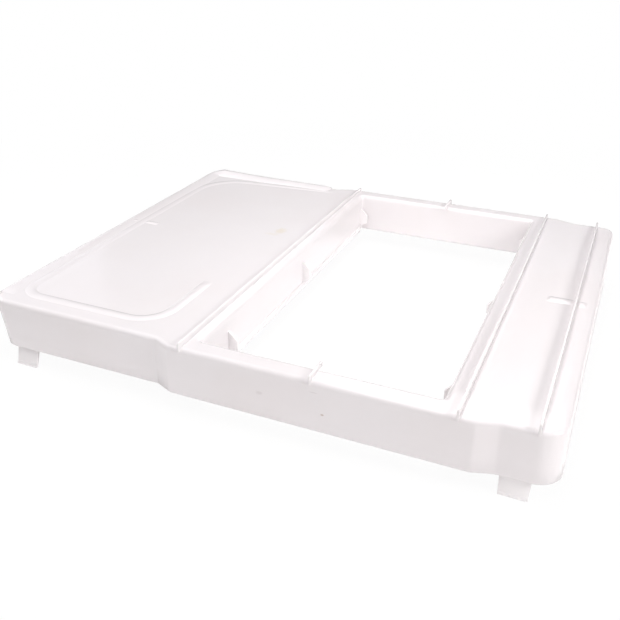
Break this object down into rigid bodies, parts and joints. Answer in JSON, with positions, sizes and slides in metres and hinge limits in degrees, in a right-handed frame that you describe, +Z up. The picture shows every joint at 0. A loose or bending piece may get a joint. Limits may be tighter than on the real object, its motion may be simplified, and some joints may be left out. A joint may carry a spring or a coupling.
{
  "type": "litter box hood cover frame",
  "caption": "Shallow white plastic cover frame for a hooded litter box: skirted deck closed on one side, large rectangular opening on the other, ribs on top and snap tabs below.",
  "frame": {"origin": "middle of the frame's outer box, on the plane of the tabs' lower ends", "axes": "+X to the right along the long side, towards the end with the opening; +Y from the front to the back; +Z up, out of the deck"},
  "size_m": [0.56, 0.47, 0.075],
  "materials": {
    "shell_white": "semi-gloss white moulding, slightly warm in the shade, lightly scuffed",
    "rib_white": "semi-gloss white, sharp moulded edges",
    "trim_white": "semi-gloss white, soft rounded crown",
    "tab_white": "semi-gloss white, the same moulding as the skirt, catching more light because the tabs are splayed"
  },
  "bodies": {
    "frame": {"skirt_left_end": "shell_white", "skirt_right_end": "shell_white", "skirt_front": "shell_white", "skirt_back": "shell_white", "deck_left": "shell_white", "deck_right": "shell_white", "liner_left": "shell_white", "liner_right": "shell_white", "liner_front": "shell_white", "liner_back": "shell_white", "rib_left": "rib_white", "rib_right": "rib_white", "rib_outer": "rib_white", "fin_front": "rib_white", "fin_back": "rib_white", "stop_left_front": "rib_white", "stop_left_mid": "rib_white", "stop_left_back": "rib_white", "stop_right_front": "rib_white", "stop_right_mid": "rib_white", "stop_right_back": "rib_white", "panel_bead": "trim_white", "cross_bead_left_outer": "trim_white", "cross_bead_left_inner": "trim_white", "cross_bead_right_inner": "trim_white", "cross_bead_right_outer": "trim_white", "edge_lip_left": "trim_white", "tab_root_front_left": "tab_white", "tab_root_front_right": "tab_white", "tab_root_back_left": "tab_white", "tab_root_back_right": "tab_white"},
    "tab_front_left_body": {"tab_front_left": "tab_white"},
    "tab_front_right_body": {"tab_front_right": "tab_white"},
    "tab_back_left_body": {"tab_back_left": "tab_white"},
    "tab_back_right_body": {"tab_back_right": "tab_white"}
  },
  "joints": [
    {"name": "tab_front_left_flex", "type": "hinge", "parent": "frame", "child": "tab_front_left_body", "pos_m": [-0.2395, -0.22295, 0.01695], "axis": [1, 0, 0], "range_deg": [-2, 18], "stiffness_Nm_per_rad": 8},
    {"name": "tab_front_right_flex", "type": "hinge", "parent": "frame", "child": "tab_front_right_body", "pos_m": [0.2465, -0.22495, 0.01695], "axis": [1, 0, 0], "range_deg": [-12, 8], "stiffness_Nm_per_rad": 8},
    {"name": "tab_back_left_flex", "type": "hinge", "parent": "frame", "child": "tab_back_left_body", "pos_m": [-0.2395, 0.22295, 0.01695], "axis": [-1, 0, 0], "range_deg": [-12, 8], "stiffness_Nm_per_rad": 8},
    {"name": "tab_back_right_flex", "type": "hinge", "parent": "frame", "child": "tab_back_right_body", "pos_m": [0.2465, 0.22395, 0.01695], "axis": [-1, 0, 0], "range_deg": [-12, 8], "stiffness_Nm_per_rad": 8}
  ]
}
